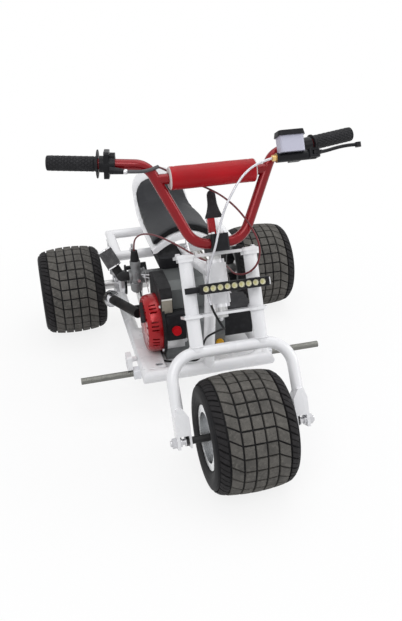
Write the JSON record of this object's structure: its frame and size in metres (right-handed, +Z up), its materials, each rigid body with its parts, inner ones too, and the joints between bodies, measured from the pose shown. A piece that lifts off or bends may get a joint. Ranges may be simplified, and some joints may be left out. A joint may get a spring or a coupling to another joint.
{
  "type": "mini tricycle",
  "caption": "Low mini tricycle with wide tyres, tubular frame, motocross handlebar and an open single-cylinder engine under a narrow saddle.",
  "frame": {"origin": "on the ground, in the middle of the overall length and width, under the engine", "axes": "+Z up, +Y towards the rear axle, so the tricycle drives towards -Y, +X towards the rider's left"},
  "size_m": [0.828, 1.1378, 0.7699],
  "materials": {
    "alloy": "cast",
    "bar_pad_cover": "satin",
    "bar_paint": "gloss",
    "bearing_metal": "polished",
    "black_metal": "satin",
    "black_plastic": "matt",
    "cable_sheath": "satin",
    "cap_plastic": "gloss",
    "chain_steel": "satin",
    "filter_fabric": "matt",
    "frame_paint": "gloss",
    "grip_rubber": "matt",
    "hose_sheath": "gloss",
    "lamp_body": "satin",
    "pad_vinyl": "satin",
    "recoil_paint": "gloss",
    "rim_metal": "satin",
    "shell_plastic": "gloss",
    "steel": "satin",
    "tyre_rubber": "matt"
  },
  "bodies": {
    "frame": {"air_filter": "filter_fabric", "axle_bearings": "bearing_metal", "backbone": "frame_paint", "brake_caliper": "black_metal", "brake_hose_lower": "hose_sheath", "brake_pedal": "frame_paint", "carburettor": "black_metal", "carburettor_boot": "black_plastic", "chain": "chain_steel", "clutch": "steel", "clutch_cover": "black_plastic", "crankcase": "black_metal", "cylinder": "alloy", "down_tube": "frame_paint", "engine_plate": "frame_paint", "fan_shroud": "black_metal", "foot_peg_left": "steel", "foot_peg_right": "steel", "fuel_tank": "black_plastic", "head_bearings": "bearing_metal", "head_tube": "frame_paint", "intake_elbow": "black_plastic", "lower_frame": "frame_paint", "oil_cap": "cap_plastic", "rear_loop": "frame_paint", "rear_upright_left": "frame_paint", "rear_upright_right": "frame_paint", "recoil_starter": "recoil_paint", "seat_bracket": "frame_paint", "seat_pad": "pad_vinyl", "seat_shell": "shell_plastic", "seat_stays": "frame_paint", "silencer": "black_metal", "switch_box": "black_plastic", "throttle_cable_lower": "cable_sheath"},
    "steering": {"bar_pad": "bar_pad_cover", "brake_hose_upper": "hose_sheath", "brake_lever": "black_metal", "front_axle": "steel", "front_fork": "frame_paint", "grip_left": "grip_rubber", "grip_right": "grip_rubber", "handlebar": "bar_paint", "handlebar_clamp": "black_metal", "light_bar": "lamp_body", "lower_plate": "frame_paint", "master_cylinder": "black_plastic", "steering_stem": "steel", "throttle_cable_upper": "cable_sheath", "throttle_housing": "black_plastic", "top_plate": "frame_paint"},
    "front_wheel": {"front_tyre": "tyre_rubber", "front_rim": "rim_metal"},
    "rear_axle": {"rear_axle_shaft": "steel", "rear_rim_left": "rim_metal", "rear_rim_right": "rim_metal", "rear_tyre_left": "tyre_rubber", "rear_tyre_right": "tyre_rubber", "rear_sprocket": "steel", "brake_disc": "steel"}
  },
  "joints": [
    {"name": "steering_turn", "type": "hinge", "parent": "frame", "child": "steering", "pos_m": [0, -0.19495, 0.48758], "axis": [0, 0.4384, 0.8988], "range_deg": [-38, 38]},
    {"name": "front_wheel_spin", "type": "hinge", "parent": "steering", "child": "front_wheel", "pos_m": [0, -0.429, 0.14], "axis": [1, 0, 0], "continuous": true},
    {"name": "rear_axle_spin", "type": "hinge", "parent": "frame", "child": "rear_axle", "pos_m": [0, 0.429, 0.14], "axis": [1, 0, 0], "continuous": true}
  ]
}
